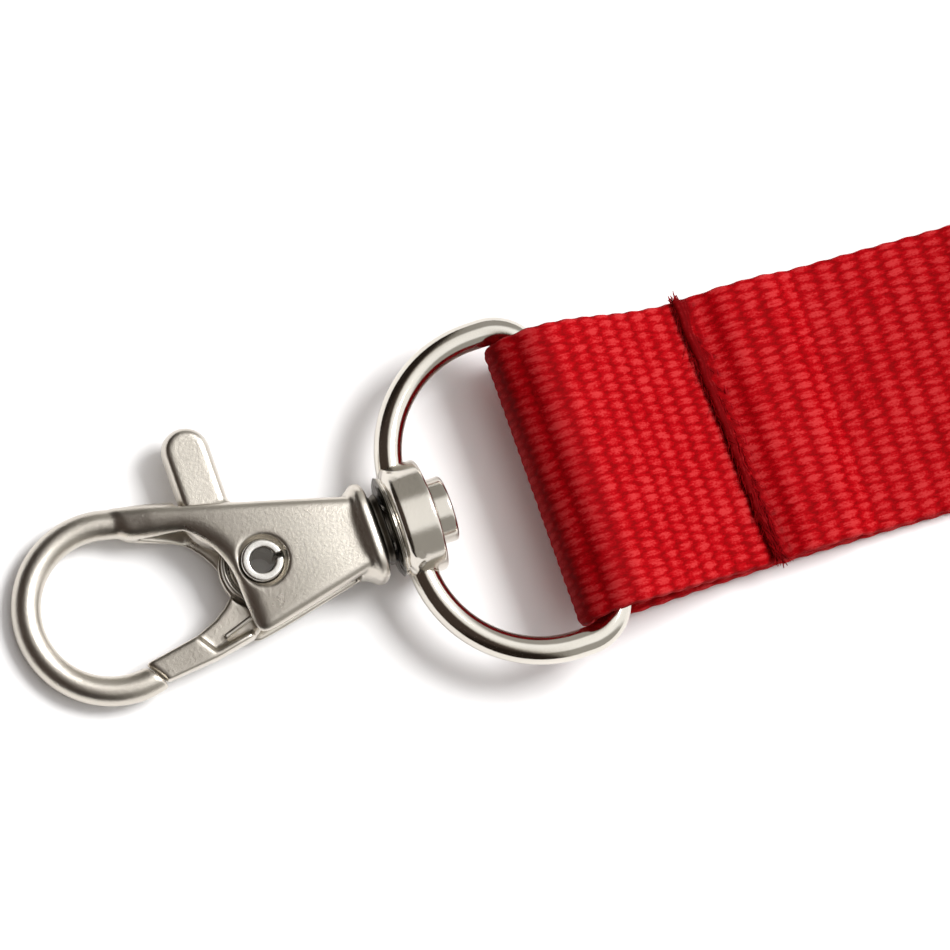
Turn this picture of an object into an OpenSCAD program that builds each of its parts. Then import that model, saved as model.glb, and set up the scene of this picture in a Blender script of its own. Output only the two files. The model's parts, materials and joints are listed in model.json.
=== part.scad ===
// Neck lanyard: a doubled webbing strap sewn round a D-ring, with a swivel trigger hook.
// X runs along the strap, away from the hook. Z is up, and z = 0 is the surface it lies on.
// Hook and ring are drawn in their own frame: u along the swivel axis towards the strap,
// v across it, w out of the hook's plane, with u = 0 where the ring enters the collar.

/* [Webbing] */
// Width of the strap
webbing_w = 20; // [19:0.5:20.5]
// Thickness of one layer
webbing_t = 1.1; // [0.9:0.05:1.2]
// Length of the sewn loop, from the fold's edge to the seam
loop_l = 15; // [13:0.5:18]
// Angle in plan between the strap and the ring
skew = 1.5; // [0:0.1:3]

/* [Hank] */
// Distance from the ring's bar to the start of the hank
hank_start = 38; // [34:1:50]
// Length of the hank, between the crowns of its end folds
hank_l = 98; // [80:1:140]
// Width of the strip that ties the hank
tie_w = 12; // [8:1:20]
// Thickness of the tie
tie_t = 1; // [0.8:0.1:1.2]

/* [Ring] */
// Wire diameter of the D-ring
ring_wire = 1.95; // [1.8:0.05:2]
// Width of the D-ring over its wire
ring_w = 24.4; // [24:0.1:26]
// Distance from the collar's cross holes to the straight bar
ring_depth = 12; // [11.8:0.1:14]
// Distance along the bar from the ring's middle to the swivel axis
swivel_off = 0.5; // [0:0.1:0.5]

/* [Swivel] */
// Radius of the collar
collar_r = 3.95; // [3.8:0.05:4.2]
// Radius of the stud's shank
stud_r = 1.7; // [1.5:0.05:1.8]
// Radius of the stud's head
stud_head_r = 2.3; // [2.2:0.05:2.8]

/* [Hook] */
// Diameter of the hook's rod
rod_d = 2.05; // [1.9:0.05:2.2]
// Radius of the rod's bowl, at its centre line
bowl_r = 5.7; // [5.6:0.05:6]
// Distance from the collar to the centre of the bowl
bowl_u = -21; // [-22:0.1:-20.8]
// Thickness of the hook's body over both cheeks
body_t = 5; // [4.8:0.1:5]
// Width of the slot between the cheeks
slot_w = 2.6; // [2.5:0.05:2.8]
// Radius of the tubular hinge pin
pin_r = 1.45; // [1.4:0.05:1.5]
// Thickness of the trigger
trigger_t = 2.1; // [1.9:0.05:2.2]

/* [Hidden] */

over = 0.5;         // how far a cutting solid runs past the face it cuts
fit = 0.06;         // radial clearance of a running fit
nickel = "#b9b4ab";
red = "#c8081c";

rod_r = rod_d / 2;
wire_r = ring_wire / 2;

// Collar: its lip is the widest part of the swivel, and the surface carries it there.
lip_r = collar_r + 0.15;
lip_u = -1.1;
collar_left = -1.43;
collar_right = 1.75;
stud_end = 3.1;

// The hook rests on the collar's lip and on the far end of its bowl, which pitches the axis.
bowl_tip = bowl_r - bowl_u + lip_u;
pitch = acos(rod_r / norm([lip_r, bowl_tip])) - atan2(bowl_tip, lip_r);
axis_z = lip_r * cos(pitch) - lip_u * sin(pitch);
bar_z = axis_z + ring_depth * sin(pitch);

// Webbing loop round the ring's bar: its cavity clears the ring's rounded corners.
fold_in = 2.05;
fold_out = fold_in + webbing_t;
seam_x = loop_l - fold_out;
lap = 6;            // how far the tucked end runs on past the seam
ramp = 3;           // length over which the upper strand comes down off that end
touch_x = 31;       // where the underside reaches the surface
lift = bar_z - fold_out;

// Hank: four runs of the doubled strap, closed up under the tie and open at the end folds.
double_t = 2 * webbing_t + 0.1;
bulb_r = 3.25;
run_pitch = double_t + 0.03;
hank_end = hank_start + hank_l;
tie_x = hank_start + hank_l / 2;
stack_h = 4 * run_pitch;
left_h = 12.9;
right_h = 4 * bulb_r;

// The origin is under the middle of the whole object.
tip_x = -(ring_depth + bowl_r - bowl_u + rod_r) * cos(pitch) * cos(skew);
bar_x = -(tip_x + hank_end) / 2;

// D-ring: a straight bar, two tight corners and two wide shoulders
ring_c = (ring_w - ring_wire) / 2;
corner_r = 2.8;
side_r = 8.4;
seat = 2;           // the wire's ends stop this far from the swivel axis

// Hook, in u and v
bowl_c = [bowl_u, 0.8];
spine_a = 76.4;     // direction, from the bowl's centre, of the joint with the spine
nose_a = 295;       // the same for the nose, before its slanted face is cut
spine_start = bowl_c + bowl_r * [cos(spine_a), sin(spine_a)];
pin_c = [-10.4, 0.3];
root_w = rod_d - 0.15;
slot_left = -14.65;
slot_right = -4.25;
neck_u = -3.65;
flange_u = -2.8;
flange_r = 3.55;
neck_r = 2.6;
nose_face = [-19.55, -4.55];
nose_face_a = -57;  // direction of the slanted face between nose and gate
gate_gap = 0.12;
tab_c = [-12.7, 9.3];
tab_r = 1.7;
hub_r = 2.9;
boss_r = 2.05;
disc_w = -1.15;     // the hub's disc lies between these two heights, and the coil on top of it
seat_w = -0.1;

// Trigger spring, in the hook's frame but measured from the pin
coil_r = 2.55;
coil_wire = 0.35;
coil_turns = 2.03;
coil_pitch = 0.4;
coil_low = seat_w + coil_wire / 2 + 0.025;
coil_from_a = -72;
leg_w = 0.76;       // height of the leg that lies on the gate's web

// Height of the strap's underside, x mm beyond the ring's bar
function under(x) = lift * pow(max(0, 1 - x / touch_x), 2);

// Share of the loop's opening that is left at x: 1 at the bar, 0 at the seam
function open_at(x) = let (s = min(1, max(0, x / seam_x))) pow(1 - s, 2) * (1 + 2 * s);

// Height of the top face of the loop
function loop_top(x) = under(x) + 2 * webbing_t + 2 * fold_in * open_at(x);

// How far the upper strand is raised by the tucked end
function tuck(x) = webbing_t * min(1, max(0, (seam_x + lap + ramp - x) / ramp));

function steps(a, b, n) = [for (i = [0:n]) a + (b - a) * i / n];

module hook_frame() {
  translate([bar_x, 0, bar_z])
    rotate([0, 0, skew])
      rotate([0, -pitch, 0])
        translate([-ring_depth, swivel_off, 0])
          children();
}

module loop_frame() {
  translate([bar_x, 0, 0])
    rotate([0, 0, skew])
      children();
}

// Draws a profile given in X and Z as a strip of webbing
module webbing_strip() {
  translate([0, webbing_w / 2, 0])
    rotate([90, 0, 0])
      linear_extrude(webbing_w)
        children();
}

// Turns a profile of radius and height about the swivel axis
module turned() {
  rotate([0, 90, 0])
    rotate_extrude($fn = 72)
      children();
}

module slab(thickness) {
  translate([0, 0, -thickness / 2])
    linear_extrude(thickness)
      children();
}

module rod(from, to, r) {
  d = to - from;
  translate([from[0], from[1], 0])
    rotate([0, 0, atan2(d[1], d[0])])
      rotate([0, 90, 0])
        cylinder(h = norm(d), r = r, $fn = 48);
}

module bend(centre, radius, wire, from_a, to_a) {
  translate([centre[0], centre[1], 0])
    rotate([0, 0, from_a])
      rotate_extrude(angle = to_a - from_a, $fn = 96)
        translate([radius, 0])
          circle(r = wire, $fn = 48);
}

// ---- Hook -------------------------------------------------------------------

module cheek_outline() {
  difference() {
    polygon([
      [neck_u, 2.75], [-16.2, 6.5], [-16.2, 3], [-13, -0.6], [-12.45, -3.95], [neck_u, -2.35]
    ]);
    translate([-17.7, -0.6])
      circle(r = 5.25, $fn = 96);
  }
}

// The rod's root, which thickens until it carries both cheeks
module root_outline() {
  translate(spine_start)
    rotate(spine_a - 90)
      translate([1.2, -root_w / 2])
        square([5, root_w]);
}

// Side view of the body, in u and w: it swells from the rod to its full thickness
module body_profile() {
  edge = [[-18.5, 0.8], [-17.3, 1.5], [-16, 2.1], [-13.5, body_t / 2], [neck_u, body_t / 2]];
  polygon(concat(edge, [for (i = [len(edge) - 1:-1:0]) [edge[i][0], -edge[i][1]]]));
}

module hook_body() {
  color(nickel)
    hook_frame() {
      difference() {
        union() {
          intersection() {
            slab(body_t + 1)
              union() {
                cheek_outline();
                root_outline();
              }
            translate([0, 10, 0])
              rotate([90, 0, 0])
                linear_extrude(20)
                  body_profile();
          }
          turned()
            polygon([
              [0, neck_u - 1], [2.7, neck_u - 1], [3.05, neck_u], [3.05, flange_u - 0.45],
              [flange_r - 0.05, flange_u - 0.25], [flange_r, flange_u],
              [flange_r - 0.05, flange_u + 0.25], [neck_r, flange_u + 0.4],
              [neck_r, collar_left - 0.1], [0, collar_left - 0.1]
            ]);
        }
        translate([slot_left, -10, -slot_w / 2])
          cube([slot_right - slot_left, 20, slot_w]);
        turned()
          translate([0, slot_right - over])
            square([stud_r, 4]);
        translate([pin_c[0], pin_c[1], -body_t])
          cylinder(h = 2 * body_t, r = pin_r, $fn = 48);
        for (side = [0, 1])
          mirror([0, 0, side])
            translate([pin_c[0], pin_c[1], body_t / 2 - 0.35])
              cylinder(h = 1, r = pin_r + 0.35, $fn = 48);
      }
      rod(spine_start, spine_start + 3.5 * [cos(spine_a - 90), sin(spine_a - 90)], rod_r);
      difference() {
        bend(bowl_c, bowl_r, rod_r, spine_a, nose_a);
        translate([nose_face[0], nose_face[1], 0])
          rotate([0, 0, nose_face_a])
            translate([-3, 0, -2])
              cube([6, 3, 4]);
      }
    }
}

// Slotted tube: its slit faces the swivel
module hinge_pin() {
  color("#d8d4cc")
    hook_frame()
      translate([pin_c[0], pin_c[1], 0])
        difference() {
          cylinder(h = body_t - 0.1, r = pin_r, center = true, $fn = 48);
          cylinder(h = 2 * body_t, r = 0.9, center = true, $fn = 48);
          translate([0, -0.15, -body_t])
            cube([3, 0.3, 2 * body_t]);
        }
}

module trigger() {
  color(nickel)
    hook_frame()
      difference() {
        union() {
          // thumb tab
          slab(trigger_t)
            union() {
              translate(tab_c)
                circle(r = tab_r, $fn = 48);
              translate([tab_c[0] - tab_r, 4.2])
                square([2 * tab_r, tab_c[1] - 4.2]);
              polygon([[-14.4, 4.3], [-13, 2.2], [-8.3, 1.6], [-11, 5]]);
            }
          // hub: a thin disc under the spring and a boss inside it
          translate([pin_c[0], pin_c[1], disc_w])
            cylinder(h = seat_w - disc_w, r = hub_r, $fn = 64);
          translate([pin_c[0], pin_c[1], 0])
            cylinder(h = -2 * disc_w, r = boss_r, center = true, $fn = 64);
          // web that carries the gate
          slab(1.1)
            polygon([[-12.2, -0.2], [-13.7, -1.7], [-14.6, -2.3], [-16.3, -3], [-15.4, -4.85],
              [-12.4, -4.3], [-9.4, -2.3]]);
          // gate bar and the rim along its lower edge
          slab(trigger_t)
            polygon([
              nose_face + [-0.56, 0.86] + gate_gap * [0.84, 0.55], [-16.1, -2.95],
              [-15.2, -4.3], [-12.5, -3.85], [-12.4, -4.3], [-15.2, -4.9],
              nose_face + [0.52, -0.8] + gate_gap * [0.84, 0.55]
            ]);
        }
        translate([pin_c[0], pin_c[1], -2])
          cylinder(h = 4, r = pin_r + fit, $fn = 48);
        // seat for the coil
        translate([pin_c[0], pin_c[1], seat_w])
          difference() {
            cylinder(h = body_t, r = hub_r + 0.1, $fn = 64);
            translate([0, 0, -over])
              cylinder(h = body_t + 2 * over, r = boss_r, $fn = 64);
          }
      }
}

// One wire: a leg on the gate's web, two turns down the boss, and a leg on the slot's end wall
function coil_point(s) =
  let (a = coil_from_a + 360 * coil_turns * s)
  [coil_r * cos(a), coil_r * sin(a), coil_low + coil_pitch * coil_turns * (1 - s)];
coil_path = concat(
  [[-3.96, -3.97, leg_w], [-3.5, -3.82, leg_w], [-0.6, -2.85, coil_low + coil_pitch * coil_turns]],
  [for (s = steps(0, 1, 40)) coil_point(s)],
  [[4, -0.7, coil_low], [5.95, 0.35, coil_low]]
);
coil_sides = 8;

module trigger_spring() {
  n = len(coil_path);
  rings = [
    for (i = [0:n - 1])
      let (
        d = coil_path[min(i + 1, n - 1)] - coil_path[max(i - 1, 0)],
        side = cross(d, [0, 0, 1]) / norm(cross(d, [0, 0, 1])),
        up = cross(side, d) / norm(cross(side, d))
      )
      for (k = [0:coil_sides - 1])
        coil_path[i] + coil_wire / 2 * (side * cos(45 * k) + up * sin(45 * k))
  ];
  color("#8f8b84")
    hook_frame()
      translate([pin_c[0], pin_c[1], 0])
        polyhedron(
          points = rings,
          faces = concat(
            [[for (k = [0:coil_sides - 1]) coil_sides - 1 - k]],
            [[for (k = [0:coil_sides - 1]) (n - 1) * coil_sides + k]],
            [
              for (i = [0:n - 2])
                for (k = [0:coil_sides - 1])
                  let (a = i * coil_sides + k, b = i * coil_sides + (k + 1) % coil_sides)
                  [a, b, b + coil_sides, a + coil_sides]
            ]
          )
        );
}

// ---- Swivel and ring ----------------------------------------------------------

module swivel_stud() {
  color(nickel)
    hook_frame()
      turned()
        polygon([
          [0, slot_right + 0.1], [stud_r, slot_right + 0.1], [stud_r, collar_right + fit],
          [stud_head_r, collar_right + fit], [stud_head_r, stud_end - 0.25],
          [stud_head_r - 0.25, stud_end], [0, stud_end]
        ]);
}

module swivel_collar() {
  color(nickel)
    hook_frame()
      difference() {
        turned()
          difference() {
            polygon([
              [0, collar_left], [lip_r - 0.35, collar_left], [lip_r, lip_u - 0.1],
              [lip_r, lip_u + 0.1], [collar_r, lip_u + 0.3], [collar_r, collar_right - 0.7],
              [collar_r - 0.25, collar_right - 0.25], [collar_r - 0.7, collar_right],
              [0, collar_right]
            ]);
            translate([0, collar_left - over])
              square([stud_r + fit, 5]);
          }
        ring_wire_path();
      }
}

module ring_wire_path() {
  bar_v = ring_c - corner_r;
  side_v = ring_c - side_r;
  translate([0, -swivel_off, 0]) {
    rod([ring_depth, -bar_v], [ring_depth, bar_v], wire_r);
    for (side = [0, 1])
      mirror([0, side, 0]) {
        bend([ring_depth - corner_r, bar_v], corner_r, wire_r, 0, 90);
        rod([side_r, ring_c], [ring_depth - corner_r, ring_c], wire_r);
        bend([side_r, side_v], side_r, wire_r, 90, 180);
      }
    rod([0, side_v], [0, seat + swivel_off], wire_r);
    rod([0, -side_v], [0, -seat + swivel_off], wire_r);
  }
}

module d_ring() {
  color("#cfcbc4")
    hook_frame()
      ring_wire_path();
}

// ---- Webbing --------------------------------------------------------------------

module webbing_loop() {
  n = 10;
  outer = steps(0, seam_x, n);
  inner = steps(0, 0.85 * seam_x, n);
  tucked = steps(seam_x, seam_x + lap, 3);
  color(red)
    loop_frame()
      webbing_strip()
        difference() {
          union() {
            translate([0, bar_z])
              circle(r = fold_out, $fn = 64);
            polygon(concat(
              [for (x = outer) [x, under(x)]],
              [for (x = tucked) [x, under(x) + webbing_t]],
              [for (i = [len(tucked) - 1:-1:0]) [tucked[i], under(tucked[i]) + 2 * webbing_t]],
              [for (i = [n - 1:-1:0]) [outer[i], loop_top(outer[i])]]
            ));
          }
          translate([0, bar_z])
            circle(r = fold_in, $fn = 64);
          polygon(concat(
            [for (x = inner) [x, under(x) + webbing_t]],
            [for (i = [n:-1:0]) [inner[i], loop_top(inner[i]) - webbing_t]]
          ));
        }
}

// The seam's two faces are square to the loop, so the strands are cut to its angle
module strand(from_x, profile) {
  color(red)
    difference() {
      translate([bar_x, 0, 0])
        webbing_strip()
          polygon(profile);
      loop_frame()
        translate([from_x - 10, -webbing_w, -over])
          cube([10, 2 * webbing_w, 20]);
    }
}

module webbing_lower_strand() {
  xs = steps(seam_x - 1, hank_start, 12);
  strand(seam_x, concat(
    [for (x = xs) [x, under(x)]],
    [for (i = [len(xs) - 1:-1:0]) [xs[i], under(xs[i]) + webbing_t]]
  ));
}

module webbing_upper_strand() {
  xs = steps(seam_x - 1, hank_start, 24);
  strand(seam_x, concat(
    [for (x = xs) [x, under(x) + webbing_t + tuck(x)]],
    [for (i = [len(xs) - 1:-1:0]) [xs[i], under(xs[i]) + 2 * webbing_t + tuck(xs[i])]]
  ));
}

module webbing_hank() {
  mid = tie_x;
  half = tie_w / 2 + 1;
  color(red)
    translate([bar_x, 0, 0])
      webbing_strip()
        union() {
          polygon([
            [hank_start, 0], [mid - 3 * half, 0], [mid - half, tie_t], [mid + half, tie_t],
            [mid + 3 * half, 0], [hank_end - bulb_r, 0], [hank_end - bulb_r, right_h],
            [mid + half, tie_t + stack_h], [mid - half, tie_t + stack_h],
            [hank_start + 2, left_h], [hank_start + 2, 2 * webbing_t],
            [hank_start, 2 * webbing_t]
          ]);
          for (i = [0, 1])
            translate([hank_end - bulb_r, bulb_r * (1 + 2 * i)])
              circle(r = bulb_r, $fn = 48);
          translate([hank_start + bulb_r, 2 * webbing_t + 0.1 + bulb_r])
            circle(r = bulb_r, $fn = 48);
          translate([hank_start + 2, left_h - 2])
            circle(r = 2, $fn = 48);
        }
}

module seam_stitching() {
  count = 14;
  spacing = (webbing_w - 1.5) / count;
  stitch_x = seam_x + 1.4;
  thread_r = 0.2;
  color("#a00616")
    loop_frame()
      for (i = [0:count - 1])
        for (z = [under(stitch_x), under(stitch_x) + 3 * webbing_t])
          translate([stitch_x, spacing * (i - (count - 1) / 2), z])
            rotate([90, 0, 0])
              cylinder(h = 0.75 * spacing, r = thread_r, center = true, $fn = 16);
}

// A strip wrapped once round the hank, with its free end laid back over the top
module hank_tie() {
  gap = 0.1;
  corner = 1.2;
  tail_w = 14;
  inner_w = webbing_w + 2 * gap;
  inner_h = stack_h + gap;
  color("#1c1c1e")
    translate([bar_x + tie_x - tie_w / 2, 0, tie_t + inner_h / 2])
      rotate([90, 0, 90])
        linear_extrude(tie_w)
          difference() {
            union() {
              rounded_box(inner_w + 2 * tie_t, inner_h + 2 * tie_t, corner + tie_t);
              translate([-tail_w / 2, inner_h / 2 + tie_t - 0.01])
                square([tail_w, tie_t]);
            }
            rounded_box(inner_w, inner_h, corner);
          }
}

module rounded_box(w, h, r) {
  square([w - 2 * r, h], center = true);
  square([w, h - 2 * r], center = true);
  for (x = [-1, 1])
    for (y = [-1, 1])
      translate([x * (w / 2 - r), y * (h / 2 - r)])
        circle(r = r, $fn = 32);
}

hook_body();
hinge_pin();
trigger();
trigger_spring();
swivel_stud();
swivel_collar();
d_ring();
webbing_loop();
webbing_lower_strand();
webbing_upper_strand();
webbing_hank();
seam_stitching();
hank_tie();
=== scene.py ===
"""A neck lanyard: red ribbed webbing sewn round a D-ring, with a swivel trigger hook.

Shapes are worked out in millimetres and turned into metres when a mesh is made.
Hook and ring are drawn in the hook's own frame: u along the swivel axis towards the strap,
v across it, w out of the hook's plane, with u = 0 where the ring enters the collar.
The strap is drawn with x along it from the ring's bar, y across it and z above the surface.
"""

import json
import math

import bpy
import numpy as np
from mathutils import Matrix, Vector


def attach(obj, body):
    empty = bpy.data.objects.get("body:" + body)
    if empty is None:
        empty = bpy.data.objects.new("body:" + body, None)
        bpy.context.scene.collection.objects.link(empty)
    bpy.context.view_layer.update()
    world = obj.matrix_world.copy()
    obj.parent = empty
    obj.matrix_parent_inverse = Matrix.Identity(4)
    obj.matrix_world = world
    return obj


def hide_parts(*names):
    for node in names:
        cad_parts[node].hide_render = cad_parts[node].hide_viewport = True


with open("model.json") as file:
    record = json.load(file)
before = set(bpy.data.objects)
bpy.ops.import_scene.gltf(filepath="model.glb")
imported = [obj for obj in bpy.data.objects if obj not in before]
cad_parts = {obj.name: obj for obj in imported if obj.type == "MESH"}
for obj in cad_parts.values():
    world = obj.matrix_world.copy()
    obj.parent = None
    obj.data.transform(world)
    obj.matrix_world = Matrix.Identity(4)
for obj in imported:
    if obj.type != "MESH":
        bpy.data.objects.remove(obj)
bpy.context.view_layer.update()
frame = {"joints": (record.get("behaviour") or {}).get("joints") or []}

MM = 0.001
rng = np.random.default_rng(20)

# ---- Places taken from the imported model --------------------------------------

joints = {joint["name"]: joint for joint in frame["joints"]}


def joint_place(name):
    return np.array(joints[name]["pos_m"]) / MM


def joint_axis(name):
    axis = np.array(joints[name]["axis"])
    return axis / np.linalg.norm(axis)


hook_axes = np.array([
    joint_axis("hook_swivel"),
    joint_axis("ring_swing"),
    -joint_axis("trigger_hinge"),
])
hook_origin = joint_place("hook_swivel")


def in_hook(place):
    """A place in the row frame, given in the hook's frame."""
    return hook_axes @ (place - hook_origin)


def from_hook(points):
    """Points of the hook's frame, given in the row frame."""
    return np.asarray(points) @ hook_axes + hook_origin


pin_u, pin_v = in_hook(joint_place("trigger_hinge"))[:2]
bar_u = in_hook(joint_place("ring_swing"))[0]
swivel_off = 0.5  # how far the swivel's axis lies from the middle of the ring
bar = joint_place("ring_swing") - swivel_off * hook_axes[1]
skew = math.atan2(hook_axes[0][1], hook_axes[0][0])

# ---- Driving sizes, as in the CAD model --------------------------------------

webbing_w = 20.0
webbing_t = 1.1
fold_in = 2.05                  # inside of the fold round the bar
fold_out = fold_in + webbing_t
seam_x = 15 - fold_out          # where the upper strand is cut
lap = 6.0                       # length of the tucked end past the cut
ramp_l = 3.0                    # length over which the upper strand comes down behind it
touch_x = 31.0                  # where the strap comes down onto the surface
strand_end = 54.0               # where the two strands run into the hank
hank_start = 38.0
hank_end = hank_start + 98
hank_layer = 2 * webbing_t + 0.13
tie_x = (hank_start + hank_end) / 2
tie_w = 12.0
tie_t = 1.0
tail_w = 14.0                   # the tie's end overlaps by half of this past the middle

ring_r = 0.975
ring_c = 11.225
ring_corner_r = 2.8
ring_side_r = 8.4
rod_r = 1.025
bowl_c = np.array([-21, 0.8])
bowl_r = 5.7
eye_c = np.array([-17.7, -0.6])
eye_r = 5.25
spine_a = 76.4
nose_a = 295
body_half = 2.5                 # half of the hook's thickness at the neck
slot_half = 1.3                 # half of the slot between the cheeks
slot_left = -14.65
slot_right = -4.25
slot_tip = -17.6
trigger_half = 1.05
pin_r = 1.45
hub_r = 2.05
coil_seat_r = 3.0


# ---- Camera ------------------------------------------------------------------

def place_camera():
    """Above the hook's left, looking down, with the strap running to the picture's upper right."""
    azimuth, elevation, roll = (math.radians(a) for a in (-60, 73, 43.0))
    distance, focal = 0.45, 248.703
    aim = Vector((-0.05425, 0.00217, 0.003))
    back = Vector((
        math.sin(azimuth) * math.cos(elevation),
        -math.cos(azimuth) * math.cos(elevation),
        math.sin(elevation),
    ))
    level = Vector((0, 0, 1)).cross(back).normalized()
    upright = back.cross(level)
    right = math.cos(roll) * level + math.sin(roll) * upright
    up = back.cross(right)
    data = bpy.data.cameras.new("camera")
    data.lens = focal
    data.clip_start = 0.01
    camera = bpy.data.objects.new("camera", data)
    turn = Matrix((right, up, back)).transposed()
    camera.matrix_world = Matrix.Translation(aim + distance * back) @ turn.to_4x4()
    bpy.context.scene.collection.objects.link(camera)
    bpy.context.scene.camera = camera


place_camera()


# ---- Meshes ------------------------------------------------------------------

def add_mesh(name, points, faces, material, normals=None):
    """A smooth mesh of quads or triangles from points in millimetres in the row frame."""
    faces = np.asarray(faces, np.int32)
    mesh = bpy.data.meshes.new(name)
    mesh.vertices.add(len(points))
    mesh.vertices.foreach_set("co", (np.asarray(points) * MM).astype(np.float32).ravel())
    mesh.loops.add(faces.size)
    mesh.loops.foreach_set("vertex_index", faces.ravel())
    mesh.polygons.add(len(faces))
    mesh.polygons.foreach_set("loop_start", np.arange(len(faces), dtype=np.int32) * faces.shape[1])
    mesh.update(calc_edges=True)
    mesh.validate()
    mesh.shade_smooth()
    if normals is not None:
        mesh.normals_split_custom_set_from_vertices(normals.astype(np.float32))
    mesh.materials.append(material)
    piece = bpy.data.objects.new(name, mesh)
    bpy.context.scene.collection.objects.link(piece)
    return piece


def add_layer(piece, name, values):
    """A value for each point of the piece, which its material reads."""
    layer = piece.data.attributes.new(name, "FLOAT", "POINT")
    layer.data.foreach_set("value", values.astype(np.float32))


def smooth_min(a, b, k):
    h = np.clip(0.5 + 0.5 * (b - a) / k, 0, 1)
    return b * (1 - h) + a * h - k * h * (1 - h)


def smooth_max(a, b, k):
    return -smooth_min(-a, -b, k)


def polygon(x, y, corners):
    """Signed distance to a polygon, negative inside."""
    x, y = np.broadcast_arrays(x, y)
    nearest = np.full(x.shape, np.inf, np.float32)
    inside = np.zeros(x.shape, bool)
    corners = np.asarray(corners, float)
    for (ax, ay), (bx, by) in zip(corners, np.roll(corners, -1, 0)):
        ex, ey = bx - ax, by - ay
        px, py = x - ax, y - ay
        t = np.clip((px * ex + py * ey) / (ex * ex + ey * ey), 0, 1)
        nearest = np.minimum(nearest, (px - t * ex) ** 2 + (py - t * ey) ** 2)
        if ay != by:
            crosses = (ay > y) != (by > y)
            inside ^= crosses & (px < ex * py / ey)
    return np.where(inside, -1, 1) * np.sqrt(nearest)


def capsule(u, v, w, start, end, radius):
    ex, ey = end[0] - start[0], end[1] - start[1]
    px, py = u - start[0], v - start[1]
    t = np.clip((px * ex + py * ey) / (ex * ex + ey * ey), 0, 1)
    return np.sqrt((px - t * ex) ** 2 + (py - t * ey) ** 2 + w ** 2) - radius


def arc_rod(u, v, w, centre, radius, wire, from_a, to_a):
    """A round rod bent along an arc, with ball ends."""
    px, py = u - centre[0], v - centre[1]
    middle, spread = math.radians(from_a + to_a) / 2, math.radians(to_a - from_a) / 2
    angle = np.arctan2(py, px) - middle
    angle = np.clip((angle + math.pi) % (2 * math.pi) - math.pi, -spread, spread) + middle
    across = np.hypot(px - radius * np.cos(angle), py - radius * np.sin(angle))
    return np.hypot(across, w) - wire


def blurred(field, cells):
    """The field averaged over a few cells each way, which rounds the shape's edges."""
    weights = np.exp(-0.5 * (np.arange(-3, 4) / cells) ** 2)
    weights /= weights.sum()
    for axis in range(3):
        padded = np.pad(field, [(3, 3) if a == axis else (0, 0) for a in range(3)], mode="edge")
        n = field.shape[axis]
        field = sum(
            weight * np.take(padded, np.arange(i, i + n), axis)
            for i, weight in enumerate(weights)
        )
    return field


def sampled(grid, places):
    """The grid's values at places given in cells, between its points by three-way blending."""
    low = np.clip(places.astype(int), 0, np.array(grid.shape[:3]) - 2)
    part = places - low
    total = 0
    for i in (0, 1):
        for j in (0, 1):
            for k in (0, 1):
                share = (
                    (part[:, 0] if i else 1 - part[:, 0])
                    * (part[:, 1] if j else 1 - part[:, 1])
                    * (part[:, 2] if k else 1 - part[:, 2])
                )
                value = grid[low[:, 0] + i, low[:, 1] + j, low[:, 2] + k]
                total = total + (share[:, None] * value if value.ndim == 2 else share * value)
    return total


def crossing_places(field, inside):
    """Cells that the surface passes through, their numbers, and a first place for it in each."""
    sizes = np.array(field.shape)
    corners = [(i, j, k) for i in (0, 1) for j in (0, 1) for k in (0, 1)]
    count = sum(
        inside[tuple(slice(o, o + n - 1) for o, n in zip(corner, sizes))].astype(np.int8)
        for corner in corners
    )
    cells = np.argwhere((count > 0) & (count < 8))
    number = np.full(tuple(n - 1 for n in sizes), -1, np.int32)
    number[tuple(cells.T)] = np.arange(len(cells))
    total = np.zeros((len(cells), 3))
    hits = np.zeros(len(cells))
    for a in corners:
        for axis in range(3):
            if a[axis]:
                continue
            b = tuple(1 if i == axis else c for i, c in enumerate(a))
            fa = field[tuple((cells + a).T)]
            fb = field[tuple((cells + b).T)]
            crosses = (fa < 0) != (fb < 0)
            t = np.where(crosses, fa / np.where(crosses, fa - fb, 1), 0)
            place = np.array(a, float)[None] + t[:, None] * (np.arange(3) == axis)
            total += np.where(crosses[:, None], place, 0)
            hits += crosses
    return cells + total / hits[:, None], number


def settled(field, places, step):
    """The places moved onto the surface, and its normals there."""
    slope = np.stack(np.gradient(field, step), -1)
    reach = 0.3 * step
    for _ in range(2):
        value, gradient = sampled(field, places), sampled(slope, places)
        size = np.maximum((gradient ** 2).sum(1), 0.05)
        places = places - np.clip(value / size, -reach, reach)[:, None] * gradient / step
    gradient = sampled(slope, places)
    return places, gradient / np.linalg.norm(gradient, axis=1)[:, None]


def cell_faces(inside, number):
    """A face across each grid line that passes through the surface, joining four cells."""
    faces = []
    for axis in range(3):
        first = inside[tuple(slice(0, -1) if i == axis else slice(1, -1) for i in range(3))]
        second = inside[tuple(slice(1, None) if i == axis else slice(1, -1) for i in range(3))]
        b, c = (axis + 1) % 3, (axis + 2) % 3
        for flip, crossing in ((False, first & ~second), (True, ~first & second)):
            at = np.argwhere(crossing)
            at[:, b] += 1
            at[:, c] += 1
            ring = []
            for db, dc in ((0, 0), (-1, 0), (-1, -1), (0, -1)):
                shifted = at.copy()
                shifted[:, b] += db
                shifted[:, c] += dc
                ring.append(number[tuple(shifted.T)])
            faces.append(np.stack(ring[::-1] if flip else ring, 1))
    return np.concatenate(faces)


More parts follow.
